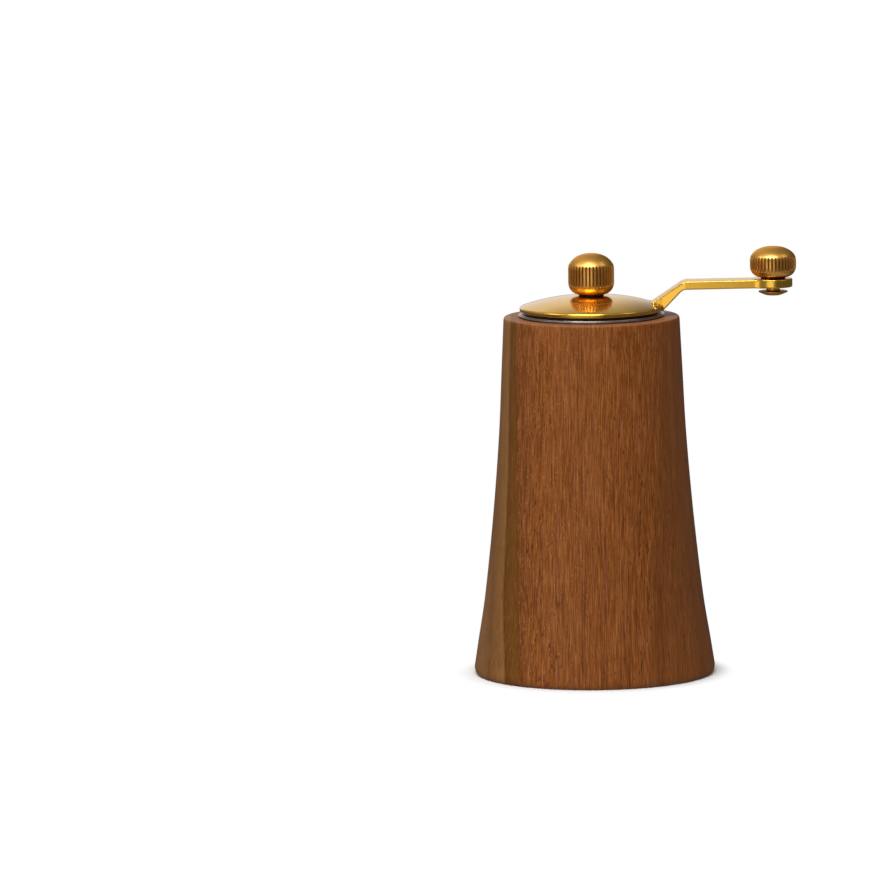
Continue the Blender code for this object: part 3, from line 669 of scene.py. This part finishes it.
RIM = [(21.05, float(dome(21.05))), (22.38, LEVEL + 4.15, 0.7), (22.25, LEVEL + 3.0, 0.3), (21.6, RIM_Z, 0.15)]
STEPS = 192
skin = [(r, float(dome(r))) for r in np.linspace(4.0, 20.6, 26)]
lid_rows = [(square(4.8, STEPS), LID_TOP), (3.9, LID_TOP)] + skin
lid_rows += rounded([skin[-1]] + RIM + [(20.5, RIM_Z, 0.15), (20.5, 114.0, 0.4), (19.8, LEVEL + 3.52)], segments=6)[1:]
lid_rows += [(r, float(dome(r)) - 1.47) for r in np.linspace(19.0, 8.0, 6)]
lid_rows += rounded([(8.0, LEVEL + 5.95), (6.6, LEVEL + 5.85, 0.4), (6.6, 112.8, 0.3), (4.0, 112.8)])[1:]
lid_rows += [(square(4.8, STEPS), 112.8), (square(4.8, STEPS), 115.0)]
v, f = revolve(lid_rows, STEPS, closed=True)
piece("domed_lid", v, f, "crank", "lid_cap", BRASS_LID)

# ---------------------------------------------------------------------------------------------- crank arm
RISE = 0.009
TOP, BOTTOM = LEVEL + 12.0, LEVEL + 9.38
ARM = [
    (16.8, LEVEL + 4.15),
    (28.0, LEVEL + 11.5),
    (29.3, TOP),
    (REACH - 1.0, TOP + RISE * (REACH - 30.3)),
    (REACH - 1.0, BOTTOM + RISE * (REACH - 30.3)),
    (29.3, BOTTOM),
    (28.4, BOTTOM - 0.2),
    (27.5, LEVEL + 8.45),
    (22.25, LEVEL + 2.94),
    (20.3, LEVEL + 2.94),
]
LID_SIDE = [(0.0, LID_TOP)] + [(float(r), float(dome(r))) for r in np.linspace(4.4, 21.0, 12)]
LID_SIDE += rounded([LID_SIDE[-1]] + RIM, segments=3)[1:] + [(20.5, RIM_Z), (0.0, RIM_Z)]
EYE_LOW, EYE_HIGH = LEVEL + 9.62, LEVEL + 12.35


def arm_field(x, y, z):
    side = polygon(x, z, ARM)
    half = 4.25 - 0.55 * np.clip((29.0 - x) / 7.0, 0, 1)
    strip = smax(side, np.abs(y) - half, 0.45)
    g = np.hypot(x - REACH, y)
    eye = smax(g - 6.0, np.abs(z - (EYE_LOW + EYE_HIGH) / 2) - (EYE_HIGH - EYE_LOW) / 2, 0.5)
    arm = smin(strip, eye, 1.3)
    # the blend stays within the strip's own faces, clear of the grip's washer and screw
    arm = np.maximum(arm, z - EYE_HIGH)
    arm = np.maximum(arm, np.where(x > REACH - 14.0, BOTTOM + RISE * (x - 29.3) - z, -9.0))
    r = np.hypot(x, y)
    lid = polygon(r, z, LID_SIDE)
    d = smin(arm, lid, 0.5)
    d = smax(d, 0.02 - lid, 0.05)
    return smax(d, 2.5 - g, 0.3)


def slopes(field, verts, e=0.04):
    """The outward direction of a field's surface at each vertex."""
    g = np.stack([field(*(verts + d).T) - field(*(verts - d).T) for d in np.eye(3) * e], 1)
    return g / np.maximum(np.linalg.norm(g, axis=1, keepdims=True), 1e-9)


verts, faces = surface_net(arm_field, (15.0, -6.9, LEVEL + 1.8), (REACH + 6.8, 6.9, LEVEL + 13.2), 0.16)
arm_normals = slopes(arm_field, verts)
piece("crank_strip", verts, faces, "crank", "crank_arm", BRASS_ARM, sharp=None, normals=arm_normals)


# ---------------------------------------------------------------------------------------------- knobs
def flute(theta, count, share):
    """1 in the middle of a groove and 0 on a ridge, with a groove half a pitch from the front."""
    pitch = 2 * np.pi / count
    u = np.abs(((theta + np.pi / 2) / pitch) % 1.0 - 0.5) / (share / 2)
    return np.sqrt(np.clip(1 - u * u, 0, 1))


def fluted(name, profile, band_r, low, high, node, body, centre, mat, bore, bore_top, depth=0.60, count=40):
    """A knob whose straight flutes run out where its profile narrows."""
    steps = count * 12
    th = angles(steps)
    g = flute(th, count, 0.50)
    rows, tarnish_and_shade = [], []
    for r, z in profile:
        if r < 1e-9:
            rows.append((0.0, z))
            tarnish_and_shade.append(np.zeros(1))
            continue
        ends = np.clip(min((z - low) / 1.7, (high - z) / 0.55), 0, 1)
        floor = band_r - depth * g * math.sqrt(ends * (2 - ends)) - 1e-4
        cut = np.where(g > 0.0, np.minimum(r, floor), r)
        rows.append((cut, z))
        # a groove's depth marks it as a recess, which darkens it: tarnish in the flutes and painted shade
        tarnish_and_shade.append(np.clip((r - cut) / depth, 0, 1))
    bottom = profile[-1][1]
    # the bore is marked as a recess too, which paints shade inside it
    for r, z in rounded([(profile[-1][0], bottom), (bore, bottom, 0.25), (bore, bore_top, 0.2), (0.0, bore_top)])[1:]:
        rows.append((0.0 if r < 1e-6 else r, z))
        tarnish_and_shade.append(np.full(1 if r < 1e-6 else steps, 0.4))
    v, f = revolve(rows, steps)
    return piece(name, v, f, body, node, mat, centre, sharp=50, tarnish_and_shade=np.concatenate(tarnish_and_shade))


def crown(points, count):
    """A smooth run from the pole, closer together where the curve is tight."""
    return [(0.0, points[0][1])] + through(points, count)[1:]


adjust_profile = crown(
    [
        (0.0, LEVEL + 20.78),
        (1.6, LEVEL + 20.68),
        (3.1, LEVEL + 20.35),
        (4.5, LEVEL + 19.75),
        (5.6, LEVEL + 18.93),
        (6.42, LEVEL + 18.0),
        (6.95, LEVEL + 17.1),
        (7.15, LEVEL + 16.2),
    ],
    44,
)
adjust_profile += [(7.15, LEVEL + z) for z in np.linspace(16.0, 11.9, 12)]
adjust_profile += through(
    [(7.15, LEVEL + 11.7), (7.03, LEVEL + 10.8), (6.66, LEVEL + 9.8), (6.0, LEVEL + 8.9), (5.1, LEVEL + 8.27), (4.1, LEVEL + 8.0)], 30
)
fluted("knurled_adjuster", adjust_profile, 7.15, LEVEL + 10.3, LEVEL + 17.3, "adjust_knob", "adjuster", AX, BRASS_KNOB, 2.35, LEVEL + 17.1)

grip_profile = crown(
    [
        (0.0, LEVEL + 22.3),
        (1.5, LEVEL + 22.24),
        (2.9, LEVEL + 22.03),
        (4.3, LEVEL + 21.53),
        (5.45, LEVEL + 20.88),
        (6.3, LEVEL + 20.12),
        (6.88, LEVEL + 19.25),
        (7.12, LEVEL + 18.3),
        (7.18, LEVEL + 17.4),
    ],
    44,
)
grip_profile += [(7.18, LEVEL + z) for z in np.linspace(17.2, 16.4, 4)]
grip_profile += through(
    [
        (7.18, LEVEL + 16.2),
        (7.1, LEVEL + 15.4),
        (6.82, LEVEL + 14.6),
        (6.34, LEVEL + 13.85),
        (5.6, LEVEL + 13.2),
        (4.7, LEVEL + 12.87),
        (3.9, LEVEL + 12.85),
    ],
    34,
)
fluted("knurled_grip", grip_profile, 7.18, LEVEL + 14.3, LEVEL + 19.35, "grip_knob", "grip", GX, BRASS_GRIP, 1.9, LEVEL + 19.4)

# ---------------------------------------------------------------------------------------------- grip's screw and washers
steps = 96
th = angles(steps)
head = rounded(
    [
        (0.0, LEVEL + 18.6),
        (1.2, LEVEL + 18.6, 0.2),
        (1.55, LEVEL + 18.2, 0.2),
        (1.55, LEVEL + 12.6, 0.1),
        (2.1, LEVEL + 12.4, 0.1),
        (2.1, LEVEL + 8.45, 0.35),
        (4.5, LEVEL + 8.37, 0.12),
        (4.55, LEVEL + 8.05, 0.15),
        (3.5, LEVEL + 7.6, 1.2),
        (2.3, LEVEL + 7.1, 0.8),
        (0.0, LEVEL + 7.05),
    ],
    segments=6,
)


def slot_cut(rows, steps, half, depth, reach):
    """Sinks a screwdriver slot along x into the lowest face of turned rows."""
    th = angles(steps)
    low = min(z if np.isscalar(z) else z.min() for r, z in rows)
    out = []
    for r, z in rows:
        if np.isscalar(r) and r < 1e-9:
            out.append((r, z + depth if z < low + 0.2 else z))
            continue
        inside = np.abs(np.asarray(r) * np.sin(th)) < half
        near = z < low + reach
        out.append((r, np.where(inside & near, np.maximum(z, low + depth), z)))
    return out


dense = [head[0]] + split_long(head[1:-1], 0.12) + [head[-1]]
v, f = revolve(slot_cut(dense, 240, 0.42, 0.75, 0.75), 240)
# the head, below LEVEL + 9, is marked as a recess, which paints shade on it because it sits in the shadow under the eye
piece("grip_stud", v, f, "grip", "grip_screw", BRASS_GRIP, GX, sharp=40, tarnish_and_shade=np.where(v[:, 2] < LEVEL + 9.0, 0.35, 0.1))


def washer(name, r0, r1, z0, z1, node, body, mat, centre=None, edge=0.08, hole=None, steps=96):
    pts = rounded([(r1, z1, edge), (r1, z0, edge)], closed=False)
    pts = rounded([(r0, z1), (r1, z1, edge), (r1, z0, edge), (r0, z0)], segments=4)
    rows = list(pts)
    if hole is not None:
        rows[0], rows[-1] = (hole, z1), (hole, z0)
    v, f = revolve(rows, steps, closed=True)
    return piece(name, v, f, body, node, mat, centre, sharp=30)


washer("grip_spacer", 2.5, 3.8, LEVEL + 12.38, LEVEL + 12.82, "grip_washer", "grip", NYLON_GRIP, GX)
washer("adjuster_spacer", 2.9, 3.9, LEVEL + 7.63, LEVEL + 7.97, "adjust_washer", "adjuster", NYLON)
washer("thrust_plate", 3.0, 6.4, 106.9, 107.7, "thrust_washer", "drive_washer", STEEL, edge=0.15, hole=square(4.8, 96))
washer("burr_cup_washer", 1.75, 4.8, 10.9, 11.8, "burr_washer", "spindle", STEEL, edge=0.15)
washer("spring_rest", 3.3, 5.4, 27.3, 28.0, "spring_seat", "spindle", STEEL, edge=0.12)

# ---------------------------------------------------------------------------------------------- lid's plug
plug = rounded(
    [
        (3.4, 112.5, 0.1),
        (18.6, 112.5, 0.2),
        (18.6, 113.3, 0.15),
        (20.1, 113.3, 0.2),
        (20.3, 111.9, 0.1),
        (20.3, 108.4, 0.4),
        (19.2, 108.4, 0.3),
        (19.2, 111.5, 0.5),
        (6.4, 111.5, 0.4),
        (6.4, 108.0, 0.25),
        (3.4, 108.0, 0.2),
    ],
    closed=True,
)
turned("lid_plug", plug, 144, "crank", "lid_insert", "black_nylon", NYLON)

# ---------------------------------------------------------------------------------------------- bridge and bushes
def bridge_field(x, y, z):
    r = np.hypot(x, y)
    disc = r - 21.5
    ring = 18.6 - r
    arms = np.full(r.shape, 1e9)
    for k in range(3):
        a = 2 * math.pi * k / 3
        along, across = x * math.cos(a) + y * math.sin(a), -x * math.sin(a) + y * math.cos(a)
        arms = np.minimum(arms, np.maximum(np.abs(across) - 2.2, -along))
    hub = r - 7.6
    flat = smin(smin(np.maximum(ring, -ring * 0 + ring), arms, 1.6), hub, 1.6)
    flat = np.maximum(flat, disc)
    flat = np.maximum(flat, 5.3 - r)
    return smax(flat, np.abs(z - 104.9) - 0.6, 0.3)


verts, faces = surface_net(bridge_field, (-22.0, -22.0, 103.9), (22.0, 22.0, 105.9), 0.3)
piece("mouth_spider", verts, faces, "housing", "upper_bridge", STEEL, sharp=None)
turned(
    "top_bush",
    rounded([(3.12, 106.6, 0.2), (6.8, 106.6, 0.2), (6.8, 105.8, 0.1), (5.0, 105.8), (5.0, 101.8, 0.3), (3.12, 101.8, 0.2)], closed=True),
    96,
    "housing",
    "upper_bush",
    "black_nylon",
    NYLON,
)
turned(
    "bottom_bush",
    rounded([(3.12, 40.0, 0.2), (4.9, 40.0, 0.3), (4.9, 35.9), (6.4, 35.9, 0.15), (6.4, 35.2, 0.15), (3.12, 35.2, 0.2)], closed=True),
    96,
    "housing",
    "lower_bush",
    "black_nylon",
    NYLON,
)

# ---------------------------------------------------------------------------------------------- burr housing
SCREWS = [math.radians(a) for a in (90, 210, 330)]
SCREW_R = 22.2


def housing_field(x, y, z):
    r = np.hypot(x, y)
    sleeve = np.maximum(np.maximum(r - 19.2, 17.2 - r), np.maximum(z - 39.2, 12.2 - z))
    flange = smax(np.maximum(r - 24.9, 17.2 - r), np.maximum(z - 13.7, 12.2 - z), 0.4)
    d = smin(sleeve, flange, 1.0)
    hub = np.maximum(np.maximum(r - 7.4, 5.2 - r), np.maximum(z - 39.2, 36.2 - z))
    arms = np.full(r.shape, 1e9)
    for k in range(3):
        a = 2 * math.pi * k / 3
        along, across = x * math.cos(a) + y * math.sin(a), -x * math.sin(a) + y * math.cos(a)
        bar = smax(np.abs(across) - 1.8, np.abs(z - 37.7) - 1.3, 0.9)
        arms = np.minimum(arms, np.maximum(bar, np.maximum(6.0 - along, along - 18.3)))
    d = smin(d, smin(hub, arms, 1.2), 1.2)
    d = np.maximum(d, 5.2 - r)
    for a in SCREWS:
        d = smax(d, 1.8 - np.hypot(x - SCREW_R * math.cos(a), y - SCREW_R * math.sin(a)), 0.2)
    return d


verts, faces = surface_net(housing_field, (-25.4, -25.4, 11.6), (25.4, 25.4, 39.8), 0.4)
piece("burr_carrier", verts, faces, "housing", "burr_housing", NYLON, sharp=40)


# ---------------------------------------------------------------------------------------------- burrs
TEETH_MID = 18.5
steps = 288
th = angles(steps)


def saw(phase, steep=0.75):
    """A cutting tooth: a slow climb and a quick fall, 0 at the ridge and 1 in the groove."""
    t = phase % 1.0
    return np.where(t < steep, t / steep, (1 - t) / (1 - steep))


def burr_row(r, z, fine, coarse, twist, sign):
    phase = (th + twist * (z - TEETH_MID)) / (2 * np.pi)
    low = np.clip((z - 17.6) / 1.2, 0, 1)
    cut = (1 - low) * fine * saw(phase * 36, 0.6) + low * coarse * saw(phase * 9, 0.8)
    return (r + sign * cut, z)


ring_in = through([(13.5, 12.25), (12.55, 15.5), (11.6, 18.0), (11.75, 21.0), (12.6, 24.5)], 30)
rows = [(15.2, 27.2), (16.7, 27.2), (16.9, 27.0), (16.9, 12.4), (16.7, 12.2), (13.9, 12.2)]
rows += [burr_row(r, z, 0.62, 1.25, -0.035, 1) for r, z in ring_in]
rows += [burr_row(13.4, 26.0, 0.62, 0.9, -0.035, 1), (14.6, 27.0)]
v, f = revolve(rows, steps, closed=True)
piece("ring_burr", v, f, "housing", "outer_burr", BURR, sharp=30)

cone = through([(5.2, 26.7), (6.2, 25.3), (7.5, 23.4), (9.6, 20.4), (10.8, 18.0), (11.8, 15.2), (12.65, 12.7)], 36)
rows = [(square(4.8, steps), 27.0), (4.9, 27.0)]
for r, z in cone:
    run = float(np.clip((r - 5.2) / 1.2, 0, 1))
    rows.append(burr_row(r, z, 0.68 * run, 1.45 * run, 0.035, -1))
rows += [(11.6, 12.25), (10.4, 12.2), (square(4.8, steps), 12.2)]
v, f = revolve(rows, steps, closed=True)
piece("cone_burr", v, f, "spindle", "inner_burr", BURR, sharp=30)


def retainer_field(x, y, z):
    r = np.hypot(x, y)
    d = smax(np.maximum(r - 24.7, 14.0 - r), np.abs(z - 11.15) - 0.75, 0.35)
    for a in SCREWS:
        d = smax(d, 1.8 - np.hypot(x - SCREW_R * math.cos(a), y - SCREW_R * math.sin(a)), 0.2)
    return d


verts, faces = surface_net(retainer_field, (-25.2, -25.2, 9.9), (25.2, 25.2, 12.4), 0.3)
piece("retaining_ring", verts, faces, "housing", "burr_retainer", STEEL, sharp=None)


# ---------------------------------------------------------------------------------------------- screws
def cross_field(r_head, low, high, r_shank, tip):
    def field(x, y, z):
        r = np.hypot(x, y)
        domed = np.sqrt(r * r + (z - (low + 6.5)) ** 2) - 6.5
        head = smax(smax(r - r_head, z - high, 0.25), domed, 0.3)
        pitch = 1.0
        turn = np.arctan2(y, x) / (2 * np.pi)
        ridge = np.abs(((z / pitch - turn) % 1.0) - 0.5) * 2
        shank = np.maximum(r - (r_shank - 0.38 + 0.38 * ridge), np.maximum(z - tip, high - 0.4 - z))
        shank = np.maximum(shank, (r + (z - tip) * 0.7))
        d = smin(head, shank, 0.2)
        bar = np.minimum(
            np.maximum(np.abs(x) - r_head * 0.14, np.abs(y) - r_head * 0.52),
            np.maximum(np.abs(y) - r_head * 0.14, np.abs(x) - r_head * 0.52),
        )
        recess = np.maximum(bar + (z - low) * 0.18, z - (low + 1.15))
        return smax(d, -recess, 0.12)

    return field


def screw(name, node, body, x, y, r_head, low, high, r_shank, tip):
    verts, faces = surface_net(
        cross_field(r_head, low, high, r_shank, tip), (-r_head - 0.4, -r_head - 0.4, low - 0.5), (r_head + 0.4, r_head + 0.4, tip + 0.4), 0.17
    )
    verts = verts + np.array([x, y, 0.0])
    return piece(name, verts, faces, body, node, STEEL, sharp=45)


for i, a in enumerate(SCREWS):
    screw(f"ring_screw_{i + 1}", f"retainer_screw_{i + 1}", "housing", SCREW_R * math.cos(a), SCREW_R * math.sin(a), 2.5, 8.45, 10.1, 1.4, 23.5)
screw("cone_screw", "burr_screw", "spindle", 0.0, 0.0, 3.1, 8.95, 10.6, 1.35, 19.0)

# ---------------------------------------------------------------------------------------------- shaft
steps = 96
th = angles(steps)
PITCH = 0.7
rows = [(0.0, 125.6), (1.35, 125.6)]
for z in np.arange(125.45, 116.6, -0.07):
    ridge = np.abs(((z / PITCH - th / (2 * np.pi)) % 1.0) - 0.5) * 2
    full = 2.0 - 0.36 * (1 - ridge)
    rows.append((np.minimum(full, 1.45 + (125.6 - z) * 0.9), z))
rows += [(1.62, 116.55), (square(4.2, steps, 0.5), 116.5), (square(4.2, steps, 0.15), 116.2), (square(4.2, steps, 0.15), 105.6)]
rows += rounded([(2.9, 105.6), (3.0, 105.5, 0.1), (3.0, 27.4, 0.1), (2.9, 27.3)])
rows += [(square(4.2, steps, 0.15), 27.3), (square(4.2, steps, 0.15), 12.7), (square(4.2, steps, 0.4), 12.3)]
rows += [(1.7, 12.3), (1.65, 12.4), (1.65, 20.4), (0.0, 20.5)]
v, f = revolve(rows, steps)
piece("spindle_rod", v, f, "spindle", "drive_shaft", STEEL, sharp=28)

# ---------------------------------------------------------------------------------------------- spring
TURNS, WIRE, COIL_R, Z0, Z1 = 4.5, 0.42, 4.2, 28.55, 34.0
n_path, n_ring = 260, 14
u = np.linspace(0, 1, n_path)
a = 2 * np.pi * TURNS * u
h = Z0 + (Z1 - Z0) * (0.75 * u + 0.25 * (0.5 - 0.5 * np.cos(np.pi * u)))
path = np.stack([COIL_R * np.cos(a), COIL_R * np.sin(a), h], 1)
tangent = np.gradient(path, axis=0)
tangent /= np.linalg.norm(tangent, axis=1, keepdims=True)
radial = np.stack([np.cos(a), np.sin(a), np.zeros_like(a)], 1)
radial -= tangent * (radial * tangent).sum(1, keepdims=True)
radial /= np.linalg.norm(radial, axis=1, keepdims=True)
binormal = np.cross(tangent, radial)
verts, faces = [], []
for i in range(n_path):
    t = 2 * np.pi * np.arange(n_ring) / n_ring
    verts.append(path[i] + WIRE * (np.cos(t)[:, None] * radial[i] + np.sin(t)[:, None] * binormal[i]))
verts = np.concatenate(verts)
for i in range(n_path - 1):
    for k in range(n_ring):
        k2 = (k + 1) % n_ring
        faces.append((i * n_ring + k, i * n_ring + k2, (i + 1) * n_ring + k2, (i + 1) * n_ring + k))
faces.append(tuple(range(n_ring))[::-1])
faces.append(tuple((n_path - 1) * n_ring + k for k in range(n_ring)))
piece("coil_spring", verts, faces, "spindle", "burr_spring", STEEL, sharp=50)

# ---------------------------------------------------------------------------------------------- floor, light, camera
size = 6.0
mesh = bpy.data.meshes.new("floor")
mesh.from_pydata([(-size, -size, -0.0001), (size, -size, -0.0001), (size, size, -0.0001), (-size, size, -0.0001)], [], [(0, 1, 2, 3)])
floor = bpy.data.objects.new("floor", mesh)
bpy.context.scene.collection.objects.link(floor)
s = Shader("pale_floor", (0.86, 0.86, 0.86), 0.9)
s.bsdf.inputs["Specular IOR Level"].default_value = 0.0
glow = s.new("ShaderNodeEmission")
glow.inputs["Color"].default_value = (1, 1, 1, 1)
s.put(glow.inputs["Strength"], s.blend(s.new("ShaderNodeLightPath").outputs["Is Camera Ray"], 0.42, 1.0))
mixer = s.new("ShaderNodeMixShader")
pos = s.parts(s.new("ShaderNodeNewGeometry").outputs["Position"])
far = s.length(s.math("SUBTRACT", pos[0], AX), pos[1])
s.put(mixer.inputs[0], s.span(far, 0.0372, 0.0440, smooth=True))
s.put(mixer.inputs[1], s.bsdf.outputs[0])
s.put(mixer.inputs[2], glow.outputs[0])
s.put(s.tree.nodes["Material Output"].inputs[0], mixer.outputs[0])
mesh.materials.append(s.mat)
floor.visible_glossy = False

world = bpy.data.worlds.new("studio")
bpy.context.scene.world = world
world.use_nodes = True
wt = world.node_tree
wt.nodes.clear()


class WorldNodes(Shader):
    def __init__(self, tree):
        self.tree = tree


w = WorldNodes(wt)
d = w.parts(w.new("ShaderNodeTexCoord").outputs["Generated"])
above = w.span(d[2], -0.06, 0.06, smooth=True)
behind = w.span(d[1], -0.15, 0.50, smooth=True)
right = w.span(d[0], -0.35, 0.45, smooth=True)
# a white backdrop straight behind and a little to the left, and darker walls beside it
backdrop = w.math("MULTIPLY", w.span(d[0], -0.62, -0.38, smooth=True), w.span(d[0], 0.20, 0.02, smooth=True))
backdrop = w.math("MULTIPLY", backdrop, behind)
walls = w.blend(behind, w.blend(right, 0.36, 0.17), w.blend(right, 0.36, 0.14))
ceiling = w.span(d[2], 0.42, 0.75, smooth=True)
upper = w.blend(backdrop, walls, 0.86)
upper = w.blend(ceiling, upper, w.blend(w.span(d[1], 0.1, -0.4, smooth=True), w.blend(right, 0.52, 0.26), w.blend(right, 0.78, 0.42)))
front = w.math("MULTIPLY", w.span(d[1], -0.45, -0.90, smooth=True), w.span(d[0], 0.35, -0.02, smooth=True))
lower = w.math("ADD", w.span(d[2], -0.50, -0.90, 0.12, 0.40, smooth=True), w.math("MULTIPLY", front, 0.40))
level = w.blend(above, lower, upper)
is_camera = w.new("ShaderNodeLightPath").outputs["Is Camera Ray"]
background = w.new("ShaderNodeBackground")
w.put(background.inputs["Strength"], w.blend(is_camera, level, 1.0))
background.inputs["Color"].default_value = (1, 1, 1, 1)
out = w.new("ShaderNodeOutputWorld")
w.put(out.inputs[0], background.outputs[0])


def softbox(name, at, aim, width, height, watts, colour=(1, 1, 1)):
    light = bpy.data.lights.new(name, "AREA")
    light.shape = "RECTANGLE"
    light.size, light.size_y = width, height
    light.energy = watts
    light.color = colour
    obj = bpy.data.objects.new(name, light)
    obj.location = at
    obj.rotation_mode = "QUATERNION"
    obj.rotation_quaternion = (Vector(aim) - Vector(at)).to_track_quat("-Z", "Y")
    obj.visible_camera = False
    bpy.context.scene.collection.objects.link(obj)
    return obj


def around(azimuth, elevation, distance, height=0.07):
    a, e = math.radians(azimuth), math.radians(elevation)
    return (
        distance * math.cos(e) * math.sin(a),
        -distance * math.cos(e) * math.cos(a),
        height + distance * math.sin(e),
    )


softbox("key", around(-14, 55, 0.92), (0, 0, 0.07), 0.66, 0.30, 6.5, (1.0, 0.985, 0.96))
softbox("left", around(-75, 40, 1.0), (0, 0, 0.06), 0.36, 0.36, 0.95, (1.0, 0.99, 0.98))
softbox("right", around(80, 50, 1.0), (0, 0, 0.06), 0.30, 0.30, 0.36, (0.97, 0.985, 1.0))
softbox("card", (-0.205, -0.60, 0.055), (-0.205, 0, 0.055), 0.49, 0.11, 0.15)

pitch, roll = math.radians(7.507), math.radians(-0.687)
forward = Vector((0, math.cos(pitch), -math.sin(pitch)))
side, up = Vector((1, 0, 0)), Vector((0, math.sin(pitch), math.cos(pitch)))
cam = bpy.data.cameras.new("camera")
cam.sensor_width, cam.lens = 36.0, 327.56
cam.clip_start, cam.clip_end = 0.05, 50
camera = bpy.data.objects.new("camera", cam)
x_axis = math.cos(roll) * side + math.sin(roll) * up
y_axis = -math.sin(roll) * side + math.cos(roll) * up
camera.matrix_world = Matrix.Translation((-0.05907, -2.5, 0.4013)) @ Matrix((x_axis, y_axis, -forward)).transposed().to_4x4()
bpy.context.scene.collection.objects.link(camera)
bpy.context.scene.camera = camera

bpy.context.scene.view_settings.view_transform = "Standard"
bpy.context.scene.view_settings.look = "None"
